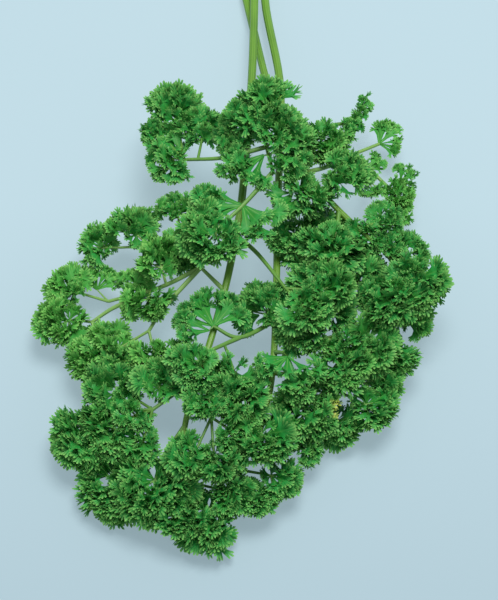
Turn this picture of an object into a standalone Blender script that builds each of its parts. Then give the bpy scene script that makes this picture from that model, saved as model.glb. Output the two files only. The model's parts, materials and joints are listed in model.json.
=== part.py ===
"""Three cut fronds of curly parsley, laid down together as one small bunch.

Each frond is a stalk that carries sprays. A spray is a branched side stalk with tufts of crisped
leaflets at its ends. The cut ends point to +Y, the tips to -Y, and the bunch rests on z = 0.
"""

import math
import random

import bmesh
import bpy
from mathutils import Vector
from mathutils.bvhtree import BVHTree

MM = 0.001

# Stalks, as radii in millimetres
STALK_BASE_RADIUS = 1.65
STALK_TIP_RADIUS = 0.9
SIDE_BASE_RADIUS = 0.95
SECOND_SIDE_RADIUS = 0.87
SIDE_END_RADIUS = 0.8
BRANCH_RADIUS = 0.7

# Joints and gaps, in millimetres
ROOT_DEPTH = 0.8
SHORTEST_BRANCH = 0.3
FORK_GAP = 0.45
CLEARANCE = 0.3

# Blades of the tufts, in millimetres and degrees
BLADE_THICKNESS = 1.05
LOBE_WIDTH = 7.6
FEWEST_LOBES = 3
LOW_TILT = -8
HIGH_TILT = 34
STEEPEST_TILT = 52
STEEPEST_DROOP = 47.7
PRESSED_BELOW = 5
TILT_DRAW = 6
REST_SINK = 0.12
SEED = 11

# Shape of a blade, as shares of its reach or, for the tooth spacing, of a lobe's width
CUT_SHARE = 0.28
MIDDLE_SHARE = 0.48
NOTCH_SHARE = 0.81
SIDE_TOOTH_SHARES = (0.9, 0.99)
FRONT_TOOTH_SHARES = (0.97, 1.04)
LOBE_REACH_SHARES = (0.93, 1.0)
TOOTH_SPACING = 0.43
WAVE_HEIGHT = 0.08
LOW_ARCH = 0.1
HIGH_ARCH = 0.2
DROOP_BELOW = 0.85

# Where a lobe is tried: shortened by these shares and tilted further by these angles, in this order.
# It is tested a little larger than it is, and next to its own spray only away from the hub
SHRINKS = (1.0, 0.88, 0.76, 0.66)
EXTRA_TILTS = (0, 9, -9, 18, -18, 30)
TEST_SCALE = 1.12
HUB_SHARE = 0.3

# Middle of the bunch's box in the layout below, which the origin is put under
MIDDLE = (-1.1, 46.8)

# Centre line of each stalk, from its cut end to its tip
STALKS = {
    "stalk_left": (
        (1, 177, 1.5), (2, 152, 4), (2, 129, 9), (1, 90, 14), (-2, 41, 20), (-4, 24, 21),
        (-7, 5, 22), (-11, -12, 21), (-14, -23, 20), (-19, -39, 17), (-21, -48, 14), (-22, -57, 12),
    ),
    "stalk_right": (
        (9, 180, 1.5), (8, 155, 3), (6, 130, 7), (11, 92, 11), (11, 65, 13), (10, 39, 15),
        (9, -1, 17), (8, -23, 17), (6, -37, 15), (1, -48, 13), (-2, -57, 12),
    ),
    "stalk_middle": (
        (-7, 173, 1.5), (-4, 150, 2), (-1, 133, 4), (3, 110, 7), (6, 90, 14), (10, 68, 21),
        (14, 53, 25), (20, 41, 27), (27, 32, 26), (35, 24, 24), (44, 16, 22),
    ),
}

# Each spray: its stalk, the Y where it leaves it (None at the tip), its side stalks as centre lines
# (the first starts at the stalk, the others on an earlier one), and its tufts as
# (hub, heading, reach, half spread)
SPRAYS = {
    "spray_left_1": ("stalk_left", 27, (((-18, 22, 21), (-33, 19, 18)),), (
        ((-24, 29, 22), 110, 12, 80), ((-38, 23, 19), 115, 13, 80),
        ((-49, 20, 15), 170, 12, 80), ((-24, 18, 20), 280, 9, 75),
    )),
    "spray_left_2": ("stalk_left", 22, (((3, 13, 23), (12, -1, 25)),), (
        ((17, -8, 27), 300, 11, 80), ((24, -2, 26), 40, 11, 80),
    )),
    "spray_left_3": ("stalk_left", 1, (
        ((-16, 8, 23),),
        ((-16, 8, 23), (-30, 3, 18), (-47, 0, 14)),
        ((-16, 8, 23), (-28, -5, 19), (-33, -12, 16)),
    ), (
        ((-29, 8, 22), 105, 12, 75), ((-31, -3, 19), 270, 9, 75), ((-59, 5, 12), 160, 13, 80),
        ((-60, -5, 10), 205, 14, 80), ((-42, -15, 13), 205, 13, 80), ((-31, -20, 14), 275, 11, 95),
        ((-51, 5, 13), 80, 12, 80), ((-40, 4, 17), 90, 9, 75),
    )),
    "spray_left_4": ("stalk_left", -24, (((-11, -35, 21), (-12, -45, 20)),), (
        ((-17, -56, 18), 240, 11, 75), ((-11, -57, 18), 300, 11, 75), ((-6, -49, 19), 330, 10, 75),
    )),
    "spray_left_5": ("stalk_left", -33, (((-30, -40, 16),),), (
        ((-40, -34, 14), 150, 13, 80), ((-45, -45, 12), 205, 17, 90), ((-34, -50, 13), 260, 12, 75),
        ((-29, -34, 18), 80, 11, 85),
    )),
    "spray_left_6": ("stalk_left", -46, (((-28, -56, 12),),), (
        ((-41, -61, 4.5), 200, 15, 90), ((-30, -66, 10), 275, 13, 90),
    )),
    "spray_left_7": ("stalk_left", None, (((-20, -63, 10),),), (
        ((-22, -70, 9), 255, 13, 75), ((-14, -74, 4.5), 290, 15, 80), ((-8, -67, 12), 325, 12, 80),
    )),
    "spray_right_1": ("stalk_right", 38, (((14, 32, 17), (17, 27, 19)),), (
        ((16, 23, 19), 255, 13, 75), ((23, 22, 19), 345, 12, 80),
    )),
    "spray_right_2": ("stalk_right", 4, (((20, -2, 18), (32, -2, 18)),), (
        ((36, 5, 18), 60, 12, 75), ((40, -3, 16), 10, 12, 75), ((27, -5, 18), 280, 10, 75),
        ((24, 3, 19), 120, 12, 80),
    )),
    "spray_right_3": ("stalk_right", -7, (((-3, -16, 19), (-8, -18, 24), (-13, -24, 25)),), (
        ((-8, -12, 23), 95, 12, 75), ((-5, -25, 19), 270, 13, 80), ((-16, -28, 26), 225, 11, 80),
        ((-14, -17, 25), 165, 12, 75),
    )),
    "spray_right_4": ("stalk_right", -11, (((16, -14, 19), (24, -16, 18)),), (
        ((38, -18, 16), 350, 12, 75), ((29, -24, 17), 285, 12, 80), ((50, -12, 14), 10, 13, 80),
        ((19, -12, 19), 245, 11, 80),
    )),
    "spray_right_5": ("stalk_right", -20, (((11, -23, 22),),), (((13, -28, 24), 275, 12, 80),)),
    "spray_right_6": ("stalk_right", -27, (((17, -29, 16), (26, -31, 13)),), (
        ((38, -36, 10), 325, 14, 75), ((29, -39, 4.5), 285, 15, 80), ((42, -29, 11), 10, 13, 60),
        ((18, -39, 14), 255, 13, 85),
    )),
    "spray_right_7": ("stalk_right", -34, (((4, -38, 19), (4, -45, 18)),), (
        ((-1, -37, 20), 230, 12, 80), ((4, -50, 18), 280, 12, 80),
    )),
    "spray_right_8": ("stalk_right", -46, (((8, -50, 11), (14, -52, 10)),), (
        ((19, -54, 9), 330, 12, 90),
    )),
    "spray_right_9": ("stalk_right", None, (((-3, -62, 10),),), (
        ((0, -66, 9), 280, 14, 80), ((7, -61, 10), 350, 12, 75),
    )),
    "spray_middle_1": ("stalk_middle", 90, (
        ((5, 64, 26), (6, 49, 33), (8, 39, 33)),
        ((6, 49, 33), (-8, 48, 31), (-22, 50, 28)),
        ((8, 39, 33), (-1, 27, 34)),
    ), (
        ((-13, 57, 28), 110, 10, 75), ((-26, 59, 26), 115, 16, 85), ((-23, 42, 27), 265, 9, 75),
        ((-31, 48, 26), 200, 11, 80), ((-1, 44, 34), 205, 12, 80), ((0, 57, 36), 140, 13, 80),
        ((8, 60, 38), 75, 14, 80), ((13, 46, 36), 340, 13, 80), ((-3, 20, 33), 240, 18, 85),
        ((-10, 27, 33), 140, 12, 75),
    )),
    "spray_middle_2": ("stalk_middle", 58, (((23, 61, 25), (31, 68, 22)),), (
        ((25, 58, 25), 265, 12, 75), ((37, 73, 20), 65, 9, 75), ((29, 64, 24), 345, 10, 75),
    )),
    "spray_middle_3": ("stalk_middle", 42, (((31, 52, 20),),), (
        ((46, 63, 13), 55, 9, 75), ((43, 51, 13), 290, 9, 75), ((52, 47, 11), 310, 12, 75),
    )),
    "spray_middle_4": ("stalk_middle", 39, (((17, 36, 28),),), (((16, 34, 29), 255, 13, 80),)),
    "spray_middle_5": ("stalk_middle", 32, (((28, 36, 29),),), (((30, 37, 30), 20, 13, 85),)),
    "spray_middle_6": ("stalk_middle", 28, (((29, 19, 25),),), (((28, 17, 25), 240, 13, 80),)),
    "spray_middle_7": ("stalk_middle", 22, (((42, 25, 23),),), (((44, 26, 23), 35, 11, 80),)),
    "spray_middle_8": ("stalk_middle", None, (((48, 11, 21),),), (
        ((53, 16, 20), 25, 14, 80), ((55, 6, 23), 330, 15, 80), ((48, -1, 22), 280, 13, 75),
    )),
}

# Colours of the stalks, and of the leaflets of each frond
COLOURS = {
    "stalk": (0.21, 0.38, 0.08, 1.0),
    "left": (0.045, 0.185, 0.035, 1.0),
    "middle": (0.035, 0.16, 0.03, 1.0),
    "right": (0.025, 0.125, 0.025, 1.0),
}


# Scene, materials and points

def clear_scene():
    for obj in list(bpy.data.objects):
        bpy.data.objects.remove(obj, do_unlink=True)


def new_collection(name):
    made = bpy.data.collections.new(name)
    bpy.context.scene.collection.children.link(made)
    return made


def plant_material(name, colour):
    material = bpy.data.materials.new(name)
    material.use_nodes = True
    shader = material.node_tree.nodes["Principled BSDF"]
    shader.inputs["Base Color"].default_value = colour
    shader.inputs["Roughness"].default_value = 0.5
    shader.inputs["Metallic"].default_value = 0.0
    return material


def placed(point):
    """A point of the layout, in metres in the bunch's own frame."""
    return Vector(((point[0] - MIDDLE[0]) * MM, (point[1] - MIDDLE[1]) * MM, point[2] * MM))


def smooth_line(points, steps):
    """Points along a Catmull-Rom curve through the given ones, with this many steps between two."""
    ends = [2 * points[0] - points[1]] + list(points) + [2 * points[-1] - points[-2]]
    line = []
    for a, b, c, d in zip(ends, ends[1:], ends[2:], ends[3:]):
        for step in range(steps):
            t = step / steps
            line.append(
                0.5 * (2 * b + (c - a) * t + (2 * a - 5 * b + 4 * c - d) * t**2
                       + (3 * b - a - 3 * c + d) * t**3)
            )
    line.append(points[-1].copy())
    return line


# Stalks and side stalks

def tube(name, line, first_radius, last_radius, resolution, collection):
    """A tapered tube along the line with closed ends, as a mesh object."""
    curve = bpy.data.curves.new(name, "CURVE")
    curve.dimensions = "3D"
    curve.bevel_depth = 1.0
    curve.bevel_resolution = resolution
    curve.use_fill_caps = True
    spline = curve.splines.new("POLY")
    spline.points.add(len(line) - 1)
    for index, (knot, point) in enumerate(zip(spline.points, line)):
        share = index / (len(line) - 1)
        knot.co = (*point, 1.0)
        knot.radius = (first_radius + (last_radius - first_radius) * share) * MM
    guide = bpy.data.objects.new(name + "_line", curve)
    bpy.context.scene.collection.objects.link(guide)
    bpy.context.view_layer.update()
    graph = bpy.context.evaluated_depsgraph_get()
    mesh = bpy.data.meshes.new_from_object(guide.evaluated_get(graph))
    mesh.name = name
    welded = bmesh.new()
    welded.from_mesh(mesh)
    bmesh.ops.remove_doubles(welded, verts=welded.verts, dist=0.00001)
    bmesh.ops.recalc_face_normals(welded, faces=welded.faces)
    welded.to_mesh(mesh)
    welded.free()
    solid = bpy.data.objects.new(name, mesh)
    solid.matrix_world = guide.matrix_world
    collection.objects.link(solid)
    bpy.data.objects.remove(guide, do_unlink=True)
    bpy.data.curves.remove(curve)
    return solid


def stalk_place(line, height_y):
    """The point of a stalk's line at this Y, its direction there, and its share of the length."""
    index = min(range(1, len(line) - 1), key=lambda i: abs(line[i].y - height_y))
    return line[index], (line[index + 1] - line[index - 1]).normalized(), index / (len(line) - 1)


def fork_start(stalk_line, leaves_at, towards):
    """Where a side stalk starts, clear of the stalk's surface on the side that it grows to."""
    if leaves_at is None:
        axis = (stalk_line[-1] - stalk_line[-2]).normalized()
        slant = (towards - stalk_line[-1]).normalized().cross(axis).length
        return stalk_line[-1] + axis * (FORK_GAP + SIDE_BASE_RADIUS * slant) * MM
    point, axis, share = stalk_place(stalk_line, (leaves_at - MIDDLE[1]) * MM)
    radius = STALK_BASE_RADIUS + (STALK_TIP_RADIUS - STALK_BASE_RADIUS) * share
    ahead = (towards - point).normalized()
    outward = (ahead - axis * ahead.dot(axis)).normalized()
    return point + outward * (radius + FORK_GAP + SIDE_BASE_RADIUS * abs(ahead.dot(axis))) * MM


def side_stalks(name, spray, stalk_line, collection):
    """The side stalks of one spray, with a short branch to each tuft's hub."""
    _, leaves_at, routes, tufts = spray
    lines = []
    for index, route in enumerate(routes):
        points = [placed(point) for point in route]
        if index == 0:
            points.insert(0, fork_start(stalk_line, leaves_at, points[0]))
        else:
            points[0] -= (points[1] - points[0]).normalized() * ROOT_DEPTH / 2 * MM
        line = smooth_line(points, 2 if len(points) > 2 else 3)
        lines.append(line)
        first = SIDE_BASE_RADIUS if index == 0 else SECOND_SIDE_RADIUS
        tube(f"{name}_side_{index}", line, first, SIDE_END_RADIUS, 1, collection)
    for index, (hub_point, *_) in enumerate(tufts):
        hub = placed(hub_point)
        start = min((point for line in lines for point in line[1:]), key=lambda p: (p - hub).length)
        if (hub - start).length > SHORTEST_BRANCH * MM:
            end = hub + (hub - start).normalized() * ROOT_DEPTH * MM
            tube(f"{name}_branch_{index}", [start, end], BRANCH_RADIUS, BRANCH_RADIUS, 1, collection)


# Tufts of leaflets. In a lobe, corners 0 to 2 are the hub and the cuts beside it, 3 to 7 its rim
# and 8 its middle

LOBE_RIM = (1, 3, 4, 5, 6, 7, 2)
LOBE_FAN = [(8, a, b) for a, b in zip(LOBE_RIM, LOBE_RIM[1:])] + [(8, 2, 1), (0, 1, 2)]


def blade_point(hub, azimuth, tilt, share, reach, arch, wave):
    """A point of the tuft's blade, this share of the way out, bent down by its arch."""
    out = share * reach
    level = out * math.cos(tilt)
    rise = out * math.sin(tilt) - arch * share**2 * reach + wave * share * reach
    point = hub + Vector((level * math.cos(azimuth), level * math.sin(azimuth), rise)) * MM
    point.z = max(point.z, (BLADE_THICKNESS / 2 - REST_SINK) * MM)
    return point


def lobe_points(hub, azimuth, width, tilt, reach, arch, tooth_shares):
    """Three teeth, the two notches between them, and the middle of the lobe."""
    made = []
    for side, share in zip((-1, 0, 1), tooth_shares):
        wave = -WAVE_HEIGHT if side else WAVE_HEIGHT
        tooth_at = azimuth + side * TOOTH_SPACING * width
        made.append(blade_point(hub, tooth_at, tilt, share, reach, arch, wave))
        if side < 1:
            notch_at = tooth_at + TOOTH_SPACING * width / 2
            made.append(blade_point(hub, notch_at, tilt, NOTCH_SHARE, reach, arch, 0))
    made.append(blade_point(hub, azimuth, tilt, MIDDLE_SHARE, reach, arch, WAVE_HEIGHT / 3))
    return made


def thickened(points, faces, half):
    """A closed skin this far above and below an open surface, in metres."""
    count = len(points)
    rise = Vector((0, 0, half))
    edges = [edge for face in faces for edge in zip(face, face[1:] + face[:1])]
    rim = [(a, b) for a, b in edges if (b, a) not in edges]
    skin = [point + rise for point in points] + [point - rise for point in points]
    sides = list(faces)
    sides += [tuple(corner + count for corner in face[::-1]) for face in faces]
    sides += [(b, a, a + count, b + count) for a, b in rim]
    return skin, sides


class Space:
    """What is already placed, by spray, so that a new leaflet can be bent clear of it."""

    def __init__(self):
        self.pieces = []

    @staticmethod
    def box(points):
        low = [min(point[axis] for point in points) for axis in range(3)]
        high = [max(point[axis] for point in points) for axis in range(3)]
        return low, high

    def add(self, owner, points, faces):
        self.pieces.append((owner, BVHTree.FromPolygons(points, faces), *self.box(points)))

    def crossings(self, owner, points, faces, hub, near):
        """Crossings with other sprays, and with leaflets of the same spray away from the hub."""
        tree = BVHTree.FromPolygons(points, faces)
        low, high = self.box(points)
        others = 0
        own = 0
        for piece_owner, piece, piece_low, piece_high in self.pieces:
            if any(low[i] > piece_high[i] or high[i] < piece_low[i] for i in range(3)):
                continue
            pairs = tree.overlap(piece)
            if piece_owner != owner:
                others += len(pairs)
            else:
                own += sum(
                    all((points[corner] - hub).length > near for corner in faces[face])
                    for face, _ in pairs
                )
        return others, own


def lobe_places(tilt, reach):
    """Where a lobe may go, best place first: as drawn, lifted, lowered or made shorter."""
    for shrink in SHRINKS:
        for extra in EXTRA_TILTS:
            tried = tilt + math.radians(extra)
            if abs(tried) <= math.radians(STEEPEST_TILT):
                yield tried, reach * shrink


def clear_lobe(owner, root, azimuth, width, tilt, reach, arch, space, rng):
    """The lobe at the first place clear of other sprays and, if there is one, of its own too."""
    hub = root[0]
    long = reach * rng.uniform(*LOBE_REACH_SHARES)
    teeth = [rng.uniform(*shares)
             for shares in (SIDE_TOOTH_SHARES, FRONT_TOOTH_SHARES, SIDE_TOOTH_SHARES)]
    fewest = None
    found = None
    for tried, length in lobe_places(tilt, long):
        lobe = lobe_points(hub, azimuth, width, tried, length, arch, teeth)
        corners = root + lobe
        tested = [lobe[-1] + (corner - lobe[-1]) * TEST_SCALE for corner in corners]
        skin, sides = thickened(tested, LOBE_FAN, (BLADE_THICKNESS / 2 + CLEARANCE) * MM)
        others, own = space.crossings(owner, skin, sides, hub, HUB_SHARE * reach * MM)
        if others:
            continue
        if fewest is None or own < fewest:
            fewest = own
            found = lobe
        if not own:
            break
    return found


def blade_object(name, points, faces):
    """A closed blade: the open surface, and a copy of it drawn straight up."""
    mesh = bpy.data.meshes.new(name)
    mesh.from_pydata([tuple(point) for point in points], [], faces)
    bm = bmesh.new()
    bm.from_mesh(mesh)
    bmesh.ops.translate(bm, vec=(0, 0, -BLADE_THICKNESS / 2 * MM), verts=bm.verts)
    drawn = bmesh.ops.extrude_face_region(bm, geom=bm.faces[:])["geom"]
    upper = [item for item in drawn if isinstance(item, bmesh.types.BMVert)]
    bmesh.ops.translate(bm, vec=(0, 0, BLADE_THICKNESS * MM), verts=upper)
    bmesh.ops.triangulate(bm, faces=[face for face in bm.faces if len(face.verts) > 3])
    bmesh.ops.recalc_face_normals(bm, faces=bm.faces)
    bm.to_mesh(mesh)
    bm.free()
    return bpy.data.objects.new(name, mesh)


def low_tilt(height, reach):
    """Tilt of the low lobes. Those of a tuft near the surface come down to it, or lie flat on it."""
    if height > DROOP_BELOW * reach:
        return math.radians(LOW_TILT)
    if height < PRESSED_BELOW:
        return -math.radians(STEEPEST_DROOP)
    drop = LOW_ARCH - (height - BLADE_THICKNESS / 2) / reach
    return max(math.asin(drop), -math.radians(STEEPEST_DROOP))


def add_tuft(name, tuft, space, collection, rng):
    """One waved blade, cut nearly to its hub into lobes that lie low and stand up in turn."""
    hub_point, heading, reach, half_spread = tuft
    hub = placed(hub_point)
    count = max(FEWEST_LOBES, round(2 * math.radians(half_spread) * reach / LOBE_WIDTH))
    width = 2 * math.radians(half_spread) / count
    first = math.radians(heading - half_spread)
    low = low_tilt(hub_point[2], reach)
    high = math.radians(HIGH_TILT)
    points = [hub]
    for index in range(count + 1):
        azimuth = first + index * width
        points.append(blade_point(hub, azimuth, (low + high) / 2, CUT_SHARE, reach, 0, 0))
    lobes = []
    for index in range(count):
        tilt, arch = ((high, HIGH_ARCH) if index % 2 else (low, LOW_ARCH))
        tilt += math.radians(rng.uniform(-TILT_DRAW, TILT_DRAW))
        azimuth = first + (index + 0.5) * width
        root = [hub, points[index + 1], points[index + 2]]
        lobe = clear_lobe(name, root, azimuth, width, tilt, reach, arch, space, rng)
        lobes.append(lobe)
        if lobe:
            space.add(name, *thickened(root + lobe, LOBE_FAN, BLADE_THICKNESS / 2 * MM))
    kept = [index for index, lobe in enumerate(lobes) if lobe]
    faces = []
    for index in range(kept[0], kept[-1] + 1):
        numbers = [0, index + 1, index + 2] + list(range(len(points), len(points) + 6))
        points += lobes[index] or []
        fan = LOBE_FAN if lobes[index] else LOBE_FAN[-1:]
        faces += [tuple(numbers[corner] for corner in face) for face in fan]
    collection.objects.link(blade_object(f"{name}_tuft", points, faces))


# Solids

def mesh_data(obj):
    return [v.co.copy() for v in obj.data.vertices], [tuple(p.vertices) for p in obj.data.polygons]


def body_volume(faces):
    return sum(
        face.verts[0].co.dot(face.verts[1].co.cross(face.verts[2].co)) / 6 for face in faces
    )


def keep_main_body(mesh):
    """Keeps the largest closed body of a mesh and drops scraps and the skins of hollows."""
    bm = bmesh.new()
    bm.from_mesh(mesh)
    bmesh.ops.remove_doubles(bm, verts=bm.verts, dist=0.0000005)
    bmesh.ops.triangulate(bm, faces=bm.faces)
    unseen = set(bm.faces)
    bodies = []
    while unseen:
        front = [unseen.pop()]
        body = list(front)
        while front:
            face = front.pop()
            for edge in face.edges:
                for near in edge.link_faces:
                    if near in unseen:
                        unseen.remove(near)
                        front.append(near)
                        body.append(near)
        bodies.append(body)
    bodies.sort(key=body_volume, reverse=True)
    dropped = [face for body in bodies[1:] for face in body]
    bmesh.ops.delete(bm, geom=dropped, context="FACES")
    bm.to_mesh(mesh)
    bm.free()


def applied_mesh(obj):
    """The mesh that the object's modifiers make, as one clean body."""
    bpy.context.view_layer.update()
    graph = bpy.context.evaluated_depsgraph_get()
    mesh = bpy.data.meshes.new_from_object(obj.evaluated_get(graph))
    keep_main_body(mesh)
    return mesh


def joined(name, pieces, material, parts):
    """One solid from the pieces: their union, without loose scraps or sealed hollows."""
    first, *others = list(pieces.objects)
    pieces.objects.unlink(first)
    parts.objects.link(first)
    union = first.modifiers.new("union", "BOOLEAN")
    union.operation = "UNION"
    union.operand_type = "COLLECTION"
    union.collection = pieces
    union.solver = "EXACT"
    mesh = applied_mesh(first)
    for obj in [first] + others:
        bpy.data.objects.remove(obj, do_unlink=True)
    bpy.data.collections.remove(pieces)
    mesh.name = name
    mesh.materials.clear()
    mesh.materials.append(material)
    solid = bpy.data.objects.new(name, mesh)
    parts.objects.link(solid)
    return solid


def surface_block(collection):
    """A block whose top is the surface that the bunch lies on."""
    bm = bmesh.new()
    bmesh.ops.create_cube(bm, size=1.0)
    bmesh.ops.scale(bm, vec=(0.4, 0.5, 0.02), verts=bm.verts)
    bmesh.ops.translate(bm, vec=(0, 0, -0.01), verts=bm.verts)
    mesh = bpy.data.meshes.new("surface")
    bm.to_mesh(mesh)
    bm.free()
    block = bpy.data.objects.new("surface", mesh)
    collection.objects.link(block)
    block.hide_render = True
    block.display_type = "WIRE"
    return block


def trimmed(solid, surface):
    """Cuts off what reaches below the surface, which leaves flat spots to rest on."""
    if min(vertex.co.z for vertex in solid.data.vertices) >= 0:
        return
    cut = solid.modifiers.new("rest", "BOOLEAN")
    cut.operation = "DIFFERENCE"
    cut.object = surface
    cut.solver = "EXACT"
    mesh = applied_mesh(solid)
    solid.modifiers.clear()
    solid.data = mesh


clear_scene()
parts = new_collection("curly_parsley")
cutters = new_collection("cutters")
surface = surface_block(cutters)
space = Space()
stalk_lines = {}

for name, route in STALKS.items():
    line = smooth_line([placed(point) for point in route], 2)
    stalk_lines[name] = line
    stalk = tube(name, line, STALK_BASE_RADIUS, STALK_TIP_RADIUS, 2, parts)
    stalk.data.materials.append(plant_material(name + "_green", COLOURS["stalk"]))
    stalk.data.shade_smooth()
    space.add(name, *mesh_data(stalk))

gathered = {}
for name, spray in SPRAYS.items():
    gathered[name] = new_collection(name + "_pieces")
    side_stalks(name, spray, stalk_lines[spray[0]], gathered[name])
    for obj in gathered[name].objects:
        space.add(name, *mesh_data(obj))

# The lowest tufts go first, so that those above are bent clear of them
rng = random.Random(SEED)
tufts = [(tuft, name) for name, spray in SPRAYS.items() for tuft in spray[3]]
for tuft, name in sorted(tufts, key=lambda item: item[0][0][2]):
    add_tuft(name, tuft, space, gathered[name], rng)

for name, pieces in gathered.items():
    frond = name.split("_")[1]
    solid = joined(name, pieces, plant_material(name + "_green", COLOURS[frond]), parts)
    trimmed(solid, surface)
for name in STALKS:
    trimmed(bpy.data.objects[name], surface)
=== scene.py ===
"""Looks of a small bunch of curly parsley: three cut fronds that lie crossed on a plain floor."""

import json
import math
import random

import bmesh
import bpy
from mathutils import Matrix, Vector

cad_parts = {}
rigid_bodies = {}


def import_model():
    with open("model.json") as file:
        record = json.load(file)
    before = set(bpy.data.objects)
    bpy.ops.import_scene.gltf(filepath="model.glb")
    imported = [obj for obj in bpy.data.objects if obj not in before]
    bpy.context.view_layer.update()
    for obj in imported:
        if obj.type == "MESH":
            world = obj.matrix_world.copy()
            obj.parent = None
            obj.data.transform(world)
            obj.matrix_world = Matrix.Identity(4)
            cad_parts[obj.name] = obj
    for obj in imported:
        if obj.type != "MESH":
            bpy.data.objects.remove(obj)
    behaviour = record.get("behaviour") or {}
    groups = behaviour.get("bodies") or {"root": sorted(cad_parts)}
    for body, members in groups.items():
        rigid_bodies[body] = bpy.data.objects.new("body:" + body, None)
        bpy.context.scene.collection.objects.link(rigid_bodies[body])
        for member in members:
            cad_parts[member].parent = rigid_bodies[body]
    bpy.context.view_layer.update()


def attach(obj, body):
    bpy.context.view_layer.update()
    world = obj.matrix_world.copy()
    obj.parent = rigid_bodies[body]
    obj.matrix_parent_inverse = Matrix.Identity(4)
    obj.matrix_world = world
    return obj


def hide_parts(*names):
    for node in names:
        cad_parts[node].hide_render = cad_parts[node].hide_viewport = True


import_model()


# The three stalks: fresh, ribbed and a little waxy, light green where they were cut and darker in
# the shade of the foliage. Each grew as one rod that thins towards its tip and ends in a plain cut.

MM = 0.001
MIDDLE = (-1.1, 46.8)
STALK_BASE_RADIUS = 1.6
STALK_TIP_RADIUS = 0.85
STALK_RIBS = 9
STALK_SIDES = 54
STALK_RIB_DEPTH = 0.045
STALK_STEPS = 7
# The knots of each stalk from its cut to its tip, in millimetres, with the model's origin at MIDDLE
STALK_LINES = {
    "stalk_left": (
        (1, 177, 1.75), (2, 152, 4), (2, 129, 9), (1, 90, 14), (-2, 41, 20), (-4, 24, 21),
        (-7, 5, 22), (-11, -12, 21), (-14, -23, 20), (-19, -39, 17), (-21, -48, 14), (-22, -57, 12),
    ),
    "stalk_right": (
        (9, 180, 1.75), (8, 155, 3), (6, 130, 7), (11, 92, 11), (11, 65, 13), (10, 39, 15),
        (9, -1, 17), (8, -23, 17), (6, -37, 15), (1, -48, 13), (-2, -57, 12),
    ),
    "stalk_middle": (
        (-7, 173, 1.75), (-4, 150, 2.1), (-1, 133, 4), (3, 110, 7), (6, 90, 14), (10, 68, 21),
        (14, 53, 25), (20, 41, 27), (27, 32, 26), (35, 24, 24), (44, 16, 22),
    ),
}


def placed(point):
    """A point of the layout in millimetres, as metres in the frame of the model."""
    return Vector(((point[0] - MIDDLE[0]) * MM, (point[1] - MIDDLE[1]) * MM, point[2] * MM))


def smooth_line(points, steps):
    """Points along a Catmull-Rom curve through the given ones, with this many steps between two."""
    ends = [2 * points[0] - points[1]] + list(points) + [2 * points[-1] - points[-2]]
    line = []
    for a, b, c, d in zip(ends, ends[1:], ends[2:], ends[3:]):
        for step in range(steps):
            t = step / steps
            line.append(
                0.5 * (2 * b + (c - a) * t + (2 * a - 5 * b + 4 * c - d) * t**2
                       + (3 * b - a - 3 * c + d) * t**3)
            )
    line.append(points[-1].copy())
    return line


def tapered(line, first, last):
    """The points of a line, with radii that go evenly from the first to the last."""
    return [(point, first + (last - first) * i / (len(line) - 1)) for i, point in enumerate(line)]


def add_node(tree, kind, **settings):
    """A node of a tree, with these settings."""
    node = tree.nodes.new(kind)
    for name, value in settings.items():
        setattr(node, name, value)
    return node


def maths(tree, operation, first, second=None):
    """A Math node on sockets or numbers, as its output socket."""
    node = add_node(tree, "ShaderNodeMath", operation=operation)
    for socket, value in zip(node.inputs, (first, second)):
        if isinstance(value, bpy.types.NodeSocket):
            tree.links.new(value, socket)
        elif value is not None:
            socket.default_value = value
    return node.outputs[0]


def named_value(tree, name, kind):
    """A stored attribute of the geometry, as an output socket."""
    node = add_node(tree, "GeometryNodeInputNamedAttribute", data_type=kind)
    node.inputs["Name"].default_value = name
    return next(socket for socket in node.outputs if socket.enabled)


def stored(tree, geometry, name, value):
    """Stores a number on the points of the geometry."""
    node = add_node(tree, "GeometryNodeStoreNamedAttribute", data_type="FLOAT", domain="POINT")
    tree.links.new(geometry, node.inputs["Geometry"])
    node.inputs["Name"].default_value = name
    tree.links.new(value, node.inputs["Value"])
    return node.outputs["Geometry"]


def new_tree(name, inputs):
    """An empty Geometry Nodes tree with these named inputs, and its input and output nodes."""
    tree = bpy.data.node_groups.new(name, "GeometryNodeTree")
    tree.interface.new_socket("Geometry", in_out="INPUT", socket_type="NodeSocketGeometry")
    tree.interface.new_socket("Geometry", in_out="OUTPUT", socket_type="NodeSocketGeometry")
    for label, kind in inputs:
        tree.interface.new_socket(label, in_out="INPUT", socket_type=kind)
    return tree, add_node(tree, "NodeGroupInput"), add_node(tree, "NodeGroupOutput")


def finish_tree(tree, geometry, given, output):
    """Ends a tree in smooth shading, real instances and its surface."""
    smooth = add_node(tree, "GeometryNodeSetShadeSmooth")
    real = add_node(tree, "GeometryNodeRealizeInstances")
    surface = add_node(tree, "GeometryNodeSetMaterial")
    tree.links.new(geometry, smooth.inputs["Geometry"])
    tree.links.new(smooth.outputs[0], real.inputs[0])
    tree.links.new(real.outputs[0], surface.inputs["Geometry"])
    tree.links.new(given.outputs["Surface"], surface.inputs["Material"])
    tree.links.new(surface.outputs[0], output.inputs[0])


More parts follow.
